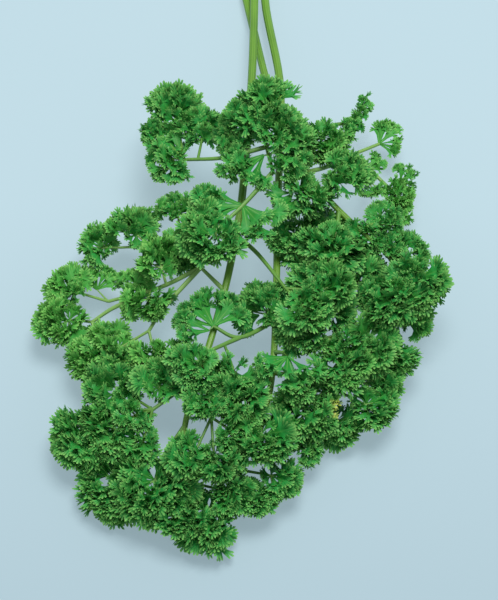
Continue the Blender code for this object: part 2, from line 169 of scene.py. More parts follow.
def stalk_tree():
    """Sweeps a ribbed section along each line, as wide as the line's own radius."""
    tree, given, output = new_tree("ribbed_stalks", (
        ("Sides", "NodeSocketInt"), ("Ribs", "NodeSocketInt"),
        ("Rib Depth", "NodeSocketFloat"), ("Surface", "NodeSocketMaterial"),
    ))
    line = add_node(tree, "GeometryNodeMeshToCurve")
    tree.links.new(given.outputs["Geometry"], line.inputs[0])
    place = add_node(tree, "GeometryNodeSplineParameter")
    circle = add_node(tree, "GeometryNodeCurvePrimitiveCircle")
    circle.inputs["Radius"].default_value = 1.0
    tree.links.new(given.outputs["Sides"], circle.inputs["Resolution"])
    turn = maths(tree, "MULTIPLY", place.outputs["Factor"], math.tau)
    wave = maths(tree, "COSINE", maths(tree, "MULTIPLY", turn, given.outputs["Ribs"]))
    swell = maths(tree, "ADD", maths(tree, "MULTIPLY", wave, given.outputs["Rib Depth"]), 1.0)
    scaled = add_node(tree, "ShaderNodeVectorMath", operation="SCALE")
    tree.links.new(add_node(tree, "GeometryNodeInputPosition").outputs[0], scaled.inputs[0])
    tree.links.new(swell, scaled.inputs["Scale"])
    ribbed = add_node(tree, "GeometryNodeSetPosition")
    tree.links.new(circle.outputs["Curve"], ribbed.inputs["Geometry"])
    tree.links.new(scaled.outputs[0], ribbed.inputs["Position"])
    section = stored(tree, ribbed.outputs[0], "rib", wave)
    sweep = add_node(tree, "GeometryNodeCurveToMesh")
    tree.links.new(line.outputs[0], sweep.inputs["Curve"])
    tree.links.new(section, sweep.inputs["Profile Curve"])
    tree.links.new(named_value(tree, "radius", "FLOAT"), sweep.inputs["Scale"])
    sweep.inputs["Fill Caps"].default_value = True
    finish_tree(tree, sweep.outputs[0], given, output)
    return tree


def set_inputs(modifier, values):
    """Sets a tree's named inputs on its modifier."""
    for item in modifier.node_group.interface.items_tree:
        if item.item_type == "SOCKET" and item.in_out == "INPUT" and item.name in values:
            modifier[item.identifier] = values[item.name]


def grown(name, guide_mesh, tree, values):
    """The plain mesh object that a tree makes of a guide mesh."""
    guide = bpy.data.objects.new(name + "_guide", guide_mesh)
    bpy.context.scene.collection.objects.link(guide)
    modifier = guide.modifiers.new("grow", "NODES")
    modifier.node_group = tree
    set_inputs(modifier, values)
    bpy.context.view_layer.update()
    graph = bpy.context.evaluated_depsgraph_get()
    mesh = bpy.data.meshes.new_from_object(guide.evaluated_get(graph))
    mesh.name = name
    guide.modifiers.remove(modifier)
    bpy.data.objects.remove(guide, do_unlink=True)
    piece = bpy.data.objects.new(name, mesh)
    bpy.context.scene.collection.objects.link(piece)
    return piece


def line_mesh(name, lines):
    """A mesh of edges along each line of (point, radius in millimetres)."""
    points, edges, radii = [], [], []
    for line in lines:
        edges += [(len(points) + i, len(points) + i + 1) for i in range(len(line) - 1)]
        points += [point for point, _ in line]
        radii += [radius * MM for _, radius in line]
    mesh = bpy.data.meshes.new(name)
    mesh.from_pydata(points, edges, [])
    mesh.attributes.new("radius", "FLOAT", "POINT").data.foreach_set("value", radii)
    return mesh


def new_material(name, roughness, gloss):
    """A new material, its node tree and its main shader."""
    material = bpy.data.materials.new(name)
    material.use_nodes = True
    tree = material.node_tree
    shader = tree.nodes["Principled BSDF"]
    shader.inputs["Roughness"].default_value = roughness
    shader.inputs["Specular IOR Level"].default_value = gloss
    return material, tree, shader


def noise(tree, scale, detail, stretch=(1, 1, 1)):
    """Noise on Object coordinates, as its value socket."""
    place = add_node(tree, "ShaderNodeTexCoord")
    mapping = add_node(tree, "ShaderNodeMapping")
    mapping.inputs["Scale"].default_value = stretch
    texture = add_node(tree, "ShaderNodeTexNoise")
    texture.inputs["Scale"].default_value = scale
    texture.inputs["Detail"].default_value = detail
    tree.links.new(place.outputs["Object"], mapping.inputs["Vector"])
    tree.links.new(mapping.outputs[0], texture.inputs["Vector"])
    return texture.outputs["Fac"]


def ramp(tree, value, stops):
    """A colour ramp of (place, colour) on a value, as its colour socket."""
    node = add_node(tree, "ShaderNodeValToRGB")
    while len(node.color_ramp.elements) < len(stops):
        node.color_ramp.elements.new(0.5)
    for element, (at, colour) in zip(node.color_ramp.elements, stops):
        element.position = at
        element.color = (*colour, 1.0)
    tree.links.new(value, node.inputs[0])
    return node.outputs[0]


def blend(tree, share, first, second):
    """A mix of two colours, as its colour socket. A Mix node takes them in its sockets 6 and 7."""
    node = add_node(tree, "ShaderNodeMix", data_type="RGBA")
    for socket, value in zip((node.inputs[0], node.inputs[6], node.inputs[7]),
                             (share, first, second)):
        if isinstance(value, bpy.types.NodeSocket):
            tree.links.new(value, socket)
        else:
            socket.default_value = value if isinstance(value, float) else (*value, 1.0)
    return node.outputs[2]


def attribute(tree, name):
    """A stored attribute of the piece, as its node."""
    return add_node(tree, "ShaderNodeAttribute", attribute_name=name)


BUMP_DEPTH = 0.0002


def bumped(tree, shader, height, strength):
    """Bump of this strength from a height, on the shader."""
    bump = add_node(tree, "ShaderNodeBump")
    bump.inputs["Strength"].default_value = strength
    bump.inputs["Distance"].default_value = BUMP_DEPTH
    tree.links.new(height, bump.inputs["Height"])
    tree.links.new(bump.outputs[0], shader.inputs["Normal"])


STALK_ROUGHNESS = 0.42
STALK_GLOSS = 0.4
PATCH_SCALE = 60
PATCH_DETAIL = 3
PATCH_SHADED_AT = 0.3
PATCH_SUNLIT_AT = 0.7
FIBRE_SCALE = 420
FIBRE_DETAIL = 4
FIBRE_STRETCH = (1, 0.06, 1)
FIBRE_SHARE = 0.45
FIBRE_BUMP = 0.35
RIB_SHARE = 0.2


def stalk_skin(name, shaded, sunlit, pale):
    """Green skin with paler ribs, fine fibres along it and random patches of painted shade and painted
    sunlight.
    """
    material, tree, shader = new_material(name, STALK_ROUGHNESS, STALK_GLOSS)
    # random patches of painted shade and painted sunlight
    lit_and_shaded_patches = ramp(tree, noise(tree, PATCH_SCALE, PATCH_DETAIL),
                   ((PATCH_SHADED_AT, shaded), (PATCH_SUNLIT_AT, sunlit)))
    fibres = noise(tree, FIBRE_SCALE, FIBRE_DETAIL, FIBRE_STRETCH)
    streaked = blend(tree, maths(tree, "MULTIPLY", fibres, FIBRE_SHARE), lit_and_shaded_patches, pale)
    crest = maths(tree, "ADD", attribute(tree, "rib").outputs["Fac"], 1.0)
    ribbed = blend(tree, maths(tree, "MULTIPLY", crest, RIB_SHARE), streaked, pale)
    tree.links.new(ribbed, shader.inputs["Base Color"])
    bumped(tree, shader, fibres, FIBRE_BUMP)
    return material


PITH_ROUGHNESS = 0.55
PITH_SCALE = 1800
PITH_DETAIL = 3
PITH_SHADES = ((0.35, (0.35, 0.5, 0.18)), (0.7, (0.62, 0.72, 0.42)))
PITH_BUMP = 0.5
PITH_INSET = 0.28


def pith():
    """Pale, moist pith of a cut end."""
    material, tree, shader = new_material("cut_pith", PITH_ROUGHNESS, STALK_GLOSS)
    grain = noise(tree, PITH_SCALE, PITH_DETAIL)
    tree.links.new(ramp(tree, grain, PITH_SHADES), shader.inputs["Base Color"])
    bumped(tree, shader, grain, PITH_BUMP)
    return material


# A rod's faces have four corners, apart from its two ends
ROD_CORNERS = 4
ribbed_stalks = stalk_tree()
skin = stalk_skin("stalk_skin", shaded=(0.05, 0.17, 0.014), sunlit=(0.11, 0.29, 0.025),
                  pale=(0.2, 0.38, 0.055))
cut_pith = pith()
stalk_paths = {}
for name, knots in STALK_LINES.items():
    path = smooth_line([placed(knot) for knot in knots], STALK_STEPS)
    stalk_paths[name] = path
    centre_line = line_mesh(name, [tapered(path, STALK_BASE_RADIUS, STALK_TIP_RADIUS)])
    stalk = grown(name + "_ribbed", centre_line, ribbed_stalks, {
        "Sides": STALK_SIDES, "Ribs": STALK_RIBS, "Rib Depth": STALK_RIB_DEPTH, "Surface": skin,
    })
    stalk.data.materials.append(cut_pith)
    bm = bmesh.new()
    bm.from_mesh(stalk.data)
    for end in [face for face in bm.faces if len(face.verts) > ROD_CORNERS]:
        end.smooth = False
        bmesh.ops.inset_individual(bm, faces=[end], thickness=PITH_INSET * MM)
        end.material_index = 1
    bm.to_mesh(stalk.data)
    bm.free()
    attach(stalk, "root")
    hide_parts(name)


# The side stalks: thinner ribbed rods of the same green flesh, with painted light making them palest
# where they lie in the open.
# Each grew out of its stalk and forks on the way to its tufts, with short branches in most of them.

SIDE_BASE_RADIUS = 0.82
SIDE_END_RADIUS = 0.56
SIDE_STEPS = 6
SIDE_RIBS = 5
SIDE_SIDES = 15
SIDE_RIB_DEPTH = 0.06
# The first points of a side stalk are sunk in the stalk that it leaves, so no branch starts there
SUNK_POINTS = 2
BRANCH_RADII = (0.5, 0.38, 0.2)
BRANCH_STEPS = 3
SHORTEST_BRANCH = 0.3
BRANCH_RISE = 0.1
# A tuft's outer branches turn by this share of its half spread, and all run this share of its reach
BRANCH_TURN = 0.62
BRANCH_REACH = 0.4

# Each spray: its stalk, the Y where it leaves it (None at the tip), its side stalks as centre lines
# (the first starts at the stalk, the others on an earlier one), and its tufts as
# (hub, heading, reach, half spread), with True after it where the smooth blades at its hub lie bare
SPRAYS = {
    "spray_left_1": ("stalk_left", 27, (((-18, 22, 21), (-33, 19, 18)),), (
        ((-24, 29, 22), 100, 8, 80), ((-38, 23, 19), 120, 11, 85),
        ((-49, 20, 15), 160, 9.5, 85), ((-24, 18, 20), 290, 11, 75),
    )),
    "spray_left_2": ("stalk_left", 22, (((3, 13, 23), (12, -1, 25)),), (
        ((17, -8, 27), 300, 11, 80), ((24, -2, 26), 40, 11, 80),
    )),
    "spray_left_3": ("stalk_left", 1, (
        ((-16, 8, 23),),
        ((-16, 8, 23), (-30, 3, 18), (-47, 0, 14)),
        ((-37.6, 0, 16), (-45.3, -2.5, 14), (-52.3, -6.7, 12)),
        ((-16, 8, 23), (-28, -5, 19), (-33, -12, 16)),
    ), (
        ((-29, 8, 22), 105, 12, 75), ((-33, -1, 19), 265, 10, 75), ((-59, 5, 12), 160, 10, 80),
        ((-60, -5, 10), 220, 12, 75), ((-43, -17, 13), 200, 12, 80), ((-49, -20, 11), 220, 11.5, 60),
        ((-31, -20, 14), 275, 11, 95),
        ((-51, 5, 13), 80, 10, 80, True), ((-39, 2, 17), 75, 8, 65),
    )),
    "spray_left_4": ("stalk_left", -24, (((-11, -35, 21), (-12, -45, 20)),), (
        ((-17, -56, 18), 240, 11, 75), ((-11, -57, 18), 300, 11, 75), ((-6, -49, 19), 330, 10, 75),
        ((-13, -39.7, 23), 250, 10, 55),
    )),
    "spray_left_5": ("stalk_left", -29, (((-31, -41, 17),),), (
        ((-41, -33, 14), 155, 14, 80), ((-44, -44, 12), 225, 12, 80), ((-51, -47, 10), 218, 13.2, 80),
        ((-34, -50, 13), 240, 10, 75),
        ((-29, -34, 18), 80, 11, 85), ((-38, -41, 16), 270, 8, 70),
    )),
    "spray_left_6": ("stalk_left", -46, (((-28, -56, 12),),), (
        ((-41, -61, 4.5), 200, 15, 90), ((-30, -63, 11), 270, 15, 90),
    )),
    "spray_left_7": ("stalk_left", None, (((-20, -63, 10),),), (
        ((-22, -70, 9), 255, 13, 75), ((-13, -71, 6), 262, 15.5, 45), ((-8, -67, 12), 318, 10, 80),
    )),
    "spray_right_1": ("stalk_right", 38, (((14, 32, 17), (17, 27, 19)),), (
        ((16, 23, 19), 260, 12, 75), ((23, 22, 19), 345, 12, 80),
    )),
    "spray_right_2": ("stalk_right", 4, (((20, -2, 18), (32, -2, 18)),), (
        ((36, 5, 18), 60, 12, 75), ((40, -3, 16), 10, 12, 75), ((27, -5, 18), 280, 10, 75),
        ((24, 3, 19), 120, 12, 80),
    )),
    "spray_right_3": ("stalk_right", -7, (
        ((-3, -17, 21), (-11.5, -14.5, 24)),
        ((-3, -17, 21), (-13, -24, 25)),
    ), (
        ((-11.5, -14.5, 24), 92, 15, 75, True), ((-5, -28, 19), 270, 12, 70),
        ((-16, -28, 26), 225, 11, 80), ((-13, -16, 24), 190, 13, 40, True), ((6, -8, 20), 125, 12, 75),
    )),
    "spray_right_4": ("stalk_right", -11, (((16, -14, 19), (24, -16, 18)),), (
        ((38, -18, 16), 350, 12, 75), ((29, -24, 17), 285, 12, 80), ((31.4, -17, 18), 275, 9, 90),
        ((50, -7, 14), 10, 11.5, 50), ((19, -12, 19), 245, 11, 80), ((46, -17, 13), 290, 11, 60),
    )),
    "spray_right_5": ("stalk_right", -20, (((11, -23, 22),),), (
        ((12.5, -25.5, 24), 207, 13, 20, True), ((12.5, -25.5, 24), 292, 16, 22, True),
        ((16, -33, 21), 265, 8, 60),
    )),
    "spray_right_6": ("stalk_right", -27, (((17, -29, 16), (26, -31, 13)),), (
        ((38, -36, 10), 325, 11, 75), ((29, -39, 4.5), 280, 11, 80), ((42, -28, 11), 20, 9.5, 75),
        ((18, -39, 14), 255, 13, 85), ((24, -34, 15), 270, 8, 90),
    )),
    "spray_right_7": ("stalk_right", -34, (((4, -38, 19), (4, -45, 18)),), (
        ((-1, -37, 20), 230, 12, 80), ((4, -50, 18), 280, 12, 80),
    )),
    "spray_right_8": ("stalk_right", -46, (((8, -50, 11), (14, -52, 10)),), (
        ((17, -50, 9), 350, 8, 90),
    )),
    "spray_right_9": ("stalk_right", None, (((-3, -62, 10),),), (
        ((0, -66, 9), 275, 10, 80), ((7, -61, 10), 325, 10, 75),
    )),
    "spray_middle_1": ("stalk_middle", 90, (
        ((5, 64, 26), (6, 49, 33), (8, 39, 33)),
        ((6, 49, 33), (-8, 46, 31), (-22, 47, 28)),
        ((8, 39, 33), (-2, 26, 33), (-11, 17, 32)),
    ), (
        ((-16, 56, 28), 90, 11.5, 42), ((-25, 65, 26), 103, 13, 58), ((-26, 48, 27), 270, 10, 48),
        ((-30.5, 58, 26), 170, 8, 70), ((5, 45, 34), 222, 15, 56, True), ((0, 57, 36), 130, 10, 80),
        ((8, 60, 38), 117, 12, 58), ((8, 45, 36), 345, 16, 40, True), ((-2, 26, 33), 182, 16, 30, True),
        ((-2, 26, 33), 298, 17, 38, True), ((-23, 48.7, 27), 120, 15, 60, True),
        ((9, 50, 36), 45, 12, 70), ((-11, 16, 32), 238, 13, 75), ((-3.4, 43.5, 32), 230, 8.5, 50),
        ((-11.6, 27.7, 31), 175, 9, 60), ((-3, 51.7, 33), 168, 9, 75),
        ((9, 41, 34), 15, 8.5, 60), ((6, 54, 37), 60, 10, 80),
    )),
    "spray_middle_2": ("stalk_middle", 58, (((23, 61, 25), (31, 66, 21), (36.6, 67, 19)),), (
        ((25, 58, 25), 265, 12, 75), ((30, 60, 24), 335, 8, 60), ((34.7, 62, 20), 80, 7, 50),
        ((37.3, 67.4, 19), 80, 6, 40), ((39, 72.5, 19), 75, 5.5, 35), ((40, 77.3, 18), 75, 4.5, 35),
    )),
    "spray_middle_3": ("stalk_middle", 42, (
        ((27, 48, 22), (35, 55.5, 17), (45.6, 63, 13)),
        ((35, 55.5, 17), (40.7, 53, 14), (49, 45, 12)),
    ), (
        ((45.6, 63, 13), 65, 11, 20, True), ((45.6, 63, 13), 355, 9, 20, True),
        ((41.3, 51.7, 14), 45, 8, 25, True), ((41.5, 47.6, 14), 285, 8, 35),
        ((52.4, 47, 12), 60, 9, 25, True), ((52, 46.4, 12), 345, 6, 30),
        ((49.5, 44, 12), 300, 10, 40), ((51.4, 38, 12), 275, 8, 40),
    )),
    "spray_middle_4": ("stalk_middle", 39, (((17, 36, 28),),), (((17, 35, 29), 295, 12, 60),)),
    "spray_middle_5": ("stalk_middle", 32, (((28, 36, 29),),), (((30, 37, 30), 45, 12, 65),)),
    "spray_middle_6": ("stalk_middle", 28, (((29, 19, 25),),), (((28, 17, 25), 240, 13, 80),)),
    "spray_middle_7": ("stalk_middle", 22, (((42, 25, 23),),), (
        ((44, 25, 23), 30, 8, 80), ((40, 22, 23), 250, 9, 80),
    )),
    "spray_middle_8": ("stalk_middle", None, (((48, 11, 21),),), (
        ((51, 14, 20), 15, 9.5, 85), ((53, 5, 23), 300, 15, 60), ((48, -1, 22), 280, 13, 75),
        ((45, 16, 22), 40, 8, 90),
    )),
}


def branch_line(knots):
    """A short branch through two or three points, as (point, radius), thinner towards its end."""
    radii = BRANCH_RADII[-len(knots):]
    line = []
    for i, point in enumerate(smooth_line(knots, BRANCH_STEPS)):
        knot, step = divmod(i, BRANCH_STEPS)
        near = radii[knot]
        far = radii[min(knot + 1, len(radii) - 1)]
        line.append((point, near + (far - near) * step / BRANCH_STEPS))
    return line


def side_lines(spray):
    """The side stalks of a spray and the branches to its hubs, as lines of (point, radius)."""
    stalk_name, leaves_at, routes, tufts = spray
    path = stalk_paths[stalk_name]
    root = path[-1]
    if leaves_at is not None:
        wanted = placed((0, leaves_at, 0)).y
        root = min(path, key=lambda point: abs(point.y - wanted))
    lines = []
    for route in routes:
        knots = [placed(point) for point in route]
        if not lines:
            knots.insert(0, root)
        lines.append(tapered(smooth_line(knots, SIDE_STEPS), SIDE_BASE_RADIUS, SIDE_END_RADIUS))
    reached = [point for line in lines for point, _ in line[SUNK_POINTS:]]
    for hub_point, heading, reach, half_spread, *bare in tufts:
        hub = placed(hub_point)
        start = min(reached, key=lambda point: (point - hub).length)
        for share in (0, -BRANCH_TURN, BRANCH_TURN):
            turn = math.radians(heading + share * half_spread)
            out = Vector((math.cos(turn), math.sin(turn), BRANCH_RISE))
            knots = [hub] if bare else [hub, hub + out * BRANCH_REACH * reach * MM]
            if share == 0 and (hub - start).length > SHORTEST_BRANCH * MM:
                knots.insert(0, start)
            if len(knots) > 1:
                lines.append(branch_line(knots))
    return lines


# The side stalks of these sprays lie in the open and get a paler skin: painted light
LIT_PALE_STALKED = ("spray_left_1", "spray_left_3", "spray_middle_3")
side_skin = stalk_skin("side_stalk_skin", shaded=(0.035, 0.15, 0.02), sunlit=(0.075, 0.24, 0.03),
                       pale=(0.2, 0.4, 0.08))
lit_pale_skin = stalk_skin("lit_pale_stalk_skin", shaded=(0.1, 0.27, 0.045), sunlit=(0.17, 0.36, 0.07),
                       pale=(0.3, 0.5, 0.15))
for name, spray in SPRAYS.items():
    stalks = grown(name + "_stalks", line_mesh(name, side_lines(spray)), ribbed_stalks, {
        "Sides": SIDE_SIDES, "Ribs": SIDE_RIBS, "Rib Depth": SIDE_RIB_DEPTH,
        "Surface": lit_pale_skin if name in LIT_PALE_STALKED else side_skin,
    })
    for face in stalks.data.polygons:
        face.use_smooth = len(face.vertices) == ROD_CORNERS
    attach(stalks, "root")
    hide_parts(name)


# The leaflets: thin green blades that grew out of the ends of the branches. Each is smooth and
# fan-veined near its stalk, where some lie bare, and splits there into three lobes, each of them
# towards its crisped rim into lobules and small curled teeth.

BLADE_THICKNESS = 0.2
# The smooth part of a lobe, of a crisped leaflet and of a bare wedge, as (place along it, half width)
STRAP = ((0.0, 0.28), (1.5, 0.4), (3.2, 0.8), (4.7, 1.4))
WEDGE = ((0.0, 0.4), (2.2, 0.6), (4.8, 0.9), (7.2, 1.25))
STRAP_ALONG = (0.0, 0.15, 0.35, 0.5)
CHANNEL = 0.22
# The fan beyond it: how far out its rows of points lie, and what share of the way to the tips that is
FAN_RADII = (1.5, 3.1, 4.4)
WEDGE_RADII = (1.4, 2.8, 4.0)
FAN_ALONG = (0.62, 0.8, 1.0)
# Turns are in degrees, lengths in millimetres or shares of a row, and pairs are ranges of the draws
FAN_TURN = 88
FAN_SEGMENTS = 6
FAN_WAVE = (-0.2, 0.2)
LOBE_BEND = (-30, 40)
LOBE_TWIST = (-30, 30)
LEAST_BEND = 0.01
LOBULES = 5
LOBULE_SPREAD = 1.3
LOBULE_RISE = 1.7
LOBULE_DIP = -0.5
LOBULE_RISE_RANGE = (0.5, 1.3)
LOBULE_LIFT = (-0.3, 0.6)
TEETH_IN_LOBULE = 3
TOOTH_FALL = 0.5
TOOTH_LIFT = (-0.35, 0.35)
TOOTH_LENGTH = 1.3
TOOTH_LENGTH_FALL = 0.8
TOOTH_LENGTH_RANGE = (0.85, 1.15)
SHORTEST_TOOTH = 0.5
TOOTH_LEAN = (-0.25, 0.25)
NOTCH_DEPTHS = (0.64, 1.08, 1.08)
NOTCH_RANGE = (0.93, 1.07)
NOTCH_LIFT = 0.6
SHOULDER_WIDTH = 0.46
SHOULDER_AT = 0.72
HEEL_AT = 0.25
HEEL_RISE = 0.12


def stitched(inner, outer):
    """Triangles between two rows of (share of the way round, point number), facing up."""
    faces, i, o = [], 0, 0
    while i < len(inner) - 1 or o < len(outer) - 1:
        if o == len(outer) - 1 or (i < len(inner) - 1 and inner[i + 1][0] <= outer[o + 1][0]):
            faces.append((inner[i][1], inner[i + 1][1], outer[o][1]))
            i += 1
        else:
            faces.append((inner[i][1], outer[o + 1][1], outer[o][1]))
            o += 1
    return faces


def frilled_lobe(seat, size, strap, radii, rng):
    """One lobe as an open sheet: a smooth strap that widens into a crisped fan of toothed lobules.

    Each point is its place in the leaflet, then its vein number from the middle and its share of
    the way to the tips.
    """
    points, faces = [], []
    teeth = LOBULES * TEETH_IN_LOBULE
    length = strap[-1][0] + radii[-1]
    bend = math.radians(rng.uniform(*LOBE_BEND)) or LEAST_BEND
    twist = math.radians(rng.uniform(*LOBE_TWIST))

    def add(x, y, z, vein, along):
        """Twists and bends a point of the flat lobe and adds it, and gives its number."""
        roll = twist * x / length
        y, z = y * math.cos(roll) - z * math.sin(roll), y * math.sin(roll) + z * math.cos(roll)
        turn = bend * x / length
        out = Vector((math.sin(turn) * length / bend - z * math.sin(turn), y,
                      (1 - math.cos(turn)) * length / bend + z * math.cos(turn)))
        points.append((seat @ (out * size), (vein, along, 0)))
        return len(points) - 1

    rows = []
    for (x, half), along in zip(strap, STRAP_ALONG):
        rows.append([add(x, side * half, CHANNEL * half * abs(side), -side * teeth / 2, along)
                     for side in (1, 0, -1)])
    for near, far in zip(rows, rows[1:]):
        faces += [(near[0], near[1], far[1]), (near[0], far[1], far[0]),
                  (near[1], near[2], far[1]), (near[2], far[2], far[1])]

    def fan_point(share, radius, along, rise):
        """Adds a point of the fan, by its share of the way round it, and gives its number."""
        turn = math.radians(FAN_TURN) * (1 - 2 * share)
        return add(strap[-1][0] + radius * math.cos(turn), radius * math.sin(turn), rise,
                   (share - 0.5) * teeth, along)

    def lift(at):
        """The share of a tooth's rise at a share of the way from its notches to its tip."""
        return NOTCH_LIFT + (1 - NOTCH_LIFT) * at

    left, centre, right = rows[-1]
    ring = [(0.0, left)]
    for index in range(1, FAN_SEGMENTS):
        share = index / FAN_SEGMENTS
        ring.append((share, fan_point(share, radii[0], FAN_ALONG[0], rng.uniform(*FAN_WAVE))))
    ring.append((1.0, right))
    faces += [(centre, b, a) for (_, a), (_, b) in zip(ring, ring[1:])]
    rises = [LOBULE_RISE * (1 if index % 2 else LOBULE_DIP) * rng.uniform(*LOBULE_RISE_RANGE)
             + rng.uniform(*LOBULE_LIFT) for index in range(LOBULES)]
    notches, heels = [], []
    for index in range(teeth + 1):
        lobule = min(index // TEETH_IN_LOBULE, LOBULES - 1)
        depth = NOTCH_DEPTHS[index % TEETH_IN_LOBULE]
        rise = 0 if depth < 1 else NOTCH_LIFT * rises[lobule]
        radius = radii[1] * depth * rng.uniform(*NOTCH_RANGE)
        notches.append((index / teeth, fan_point(index / teeth, radius, FAN_ALONG[1], rise)))
    for index in range(teeth):
        lobule = index // TEETH_IN_LOBULE
        heart = (lobule + 0.5) / LOBULES
        own = (index + 0.5) / teeth
        share = heart + (own - heart) * LOBULE_SPREAD
        off = abs(own - heart) * LOBULES
        rise = rises[lobule] * (1 - TOOTH_FALL * off) + rng.uniform(*TOOTH_LIFT)
        long = ((radii[2] - radii[1]) * (TOOTH_LENGTH - TOOTH_LENGTH_FALL * off)
                * rng.uniform(*TOOTH_LENGTH_RANGE))
        flat = math.sqrt(max(long**2 - ((1 - NOTCH_LIFT) * rise)**2, SHORTEST_TOOTH**2))
        out = radii[1] + flat
        shoulders = [fan_point(share + side * SHOULDER_WIDTH / teeth,
                               radii[1] + (out - radii[1]) * SHOULDER_AT,
                               (FAN_ALONG[1] + FAN_ALONG[2]) / 2, rise * lift(SHOULDER_AT))
                     for side in (-1, 1)]
        tip = fan_point(share + rng.uniform(*TOOTH_LEAN) / teeth, out, FAN_ALONG[2], rise)
        heel = fan_point((share + own) / 2, radii[1] + (out - radii[1]) * HEEL_AT,
                         FAN_ALONG[1] + (FAN_ALONG[2] - FAN_ALONG[1]) * HEEL_AT,
                         rise * lift(HEEL_AT) + HEEL_RISE)
        heels.append((own, heel))
        edge = (notches[index + 1][1], shoulders[1], tip, shoulders[0], notches[index][1])
        faces += [(a, b, heel) for a, b in zip(edge, edge[1:])]
    faces += stitched(ring, sorted(notches + heels))
    faces += [(rows[-2][0], left, notches[0][1]), (right, rows[-2][2], notches[-1][1])]
    return points, faces


def thickened(bm, points, faces):
    """Adds a sheet as a closed blade, thickest inside and thinned out to nothing at its edge."""
    place = bm.verts.layers.float_vector["leaf_place"]
    normals = [Vector() for _ in points]
    sides = set()
    for face in faces:
        corners = [points[index][0] for index in face]
        normal = (corners[1] - corners[0]).cross(corners[2] - corners[0])
        for index, following in zip(face, face[1:] + face[:1]):
            normals[index] += normal
            sides.add((index, following))
    rim = {index for a, b in sides if (b, a) not in sides for index in (a, b)}
    upper, under = [], []
    for index, ((point, at), normal) in enumerate(zip(points, normals)):
        lift = Vector() if index in rim else normal.normalized() * BLADE_THICKNESS / 2
        upper.append(bm.verts.new(point + lift))
        under.append(upper[-1] if index in rim else bm.verts.new(point - lift))
        upper[-1][place] = at
        under[-1][place] = at
    for face in faces:
        bm.faces.new([upper[index] for index in face])
        bm.faces.new([under[index] for index in reversed(face)])


def turned(splay, rise, roll):
    """A frame turned out, up and about itself, in degrees."""
    return (Matrix.Rotation(math.radians(splay), 4, "Z")
            @ Matrix.Rotation(math.radians(-rise), 4, "Y")
            @ Matrix.Rotation(math.radians(roll), 4, "X"))


SPLAY_RANGE = (-6, 6)
LOBE_RISE = (-12, 18)
LOBE_ROLL = (-25, 25)
LOBE_SIZE = (0.88, 1.08)
SHARP_ANGLE = math.radians(50)


def leaflet(name, splay, strap, radii, rng):
    """One leaflet: three lobes side by side, which part halfway out."""
    bm = bmesh.new()
    bm.verts.layers.float_vector.new("leaf_place")
    for middle in (-splay, 0, splay):
        seat = turned(middle + rng.uniform(*SPLAY_RANGE), rng.uniform(*LOBE_RISE),
                      rng.uniform(*LOBE_ROLL))
        size = rng.uniform(*LOBE_SIZE)
        thickened(bm, *frilled_lobe(seat, size, strap, radii, rng))
    bmesh.ops.scale(bm, vec=(MM, MM, MM), verts=bm.verts)
    for edge in bm.edges:
        edge.smooth = edge.calc_face_angle(0) < SHARP_ANGLE
    mesh = bpy.data.meshes.new(name)
    bm.to_mesh(mesh)
    bm.free()
    return bpy.data.objects.new(name, mesh)


def leaflet_tree():
    """Puts a leaflet on each point, by its kind, turn and size, and lays low ones on the floor."""
    tree, given, output = new_tree("leaflets_on_hubs", (
        ("Leaflets", "NodeSocketCollection"), ("Soft Height", "NodeSocketFloat"),
        ("Surface", "NodeSocketMaterial"),
    ))
    kinds = add_node(tree, "GeometryNodeCollectionInfo")
    kinds.inputs["Separate Children"].default_value = True
    kinds.inputs["Reset Children"].default_value = True
    tree.links.new(given.outputs["Leaflets"], kinds.inputs["Collection"])
    turn = add_node(tree, "FunctionNodeEulerToRotation")
    tree.links.new(named_value(tree, "turn", "FLOAT_VECTOR"), turn.inputs[0])
    copies = add_node(tree, "GeometryNodeInstanceOnPoints")
    copies.inputs["Pick Instance"].default_value = True
    tree.links.new(given.outputs["Geometry"], copies.inputs["Points"])
    tree.links.new(kinds.outputs[0], copies.inputs["Instance"])
    tree.links.new(named_value(tree, "kind", "INT"), copies.inputs["Instance Index"])
    tree.links.new(turn.outputs[0], copies.inputs["Rotation"])
    tree.links.new(named_value(tree, "size", "FLOAT"), copies.inputs["Scale"])
    real = add_node(tree, "GeometryNodeRealizeInstances")
    tree.links.new(copies.outputs[0], real.inputs[0])
    apart = add_node(tree, "ShaderNodeSeparateXYZ")
    tree.links.new(add_node(tree, "GeometryNodeInputPosition").outputs[0], apart.inputs[0])
    soft = given.outputs["Soft Height"]
    above = maths(tree, "SUBTRACT", apart.outputs[2], soft)
    below = maths(tree, "MINIMUM", maths(tree, "DIVIDE", above, soft), 0.0)
    pressed = maths(tree, "MULTIPLY", maths(tree, "EXPONENT", below), soft)
    height = maths(tree, "ADD", pressed, maths(tree, "MAXIMUM", above, 0.0))
    together = add_node(tree, "ShaderNodeCombineXYZ")
    for index, value in enumerate((apart.outputs[0], apart.outputs[1], height)):
        tree.links.new(value, together.inputs[index])
    laid = add_node(tree, "GeometryNodeSetPosition")
    tree.links.new(real.outputs[0], laid.inputs["Geometry"])
    tree.links.new(together.outputs[0], laid.inputs["Position"])
    finish_tree(tree, laid.outputs[0], given, output)
    return tree


LEAF_ROUGHNESS = 0.42
LEAF_GLOSS = 0.13
MOTTLE_SCALE = 260
MOTTLE_DETAIL = 4
MOTTLE_DEEP_AT = 0.34
MOTTLE_MID_AT = 0.6
FRESHNESS_AND_SHADE_POWER = 1.6
# How much of each shows, at shares of the way from the leaflet's stalk to its tips
SMOOTH_BASE = ((0.4, 0.7), (0.66, 0))
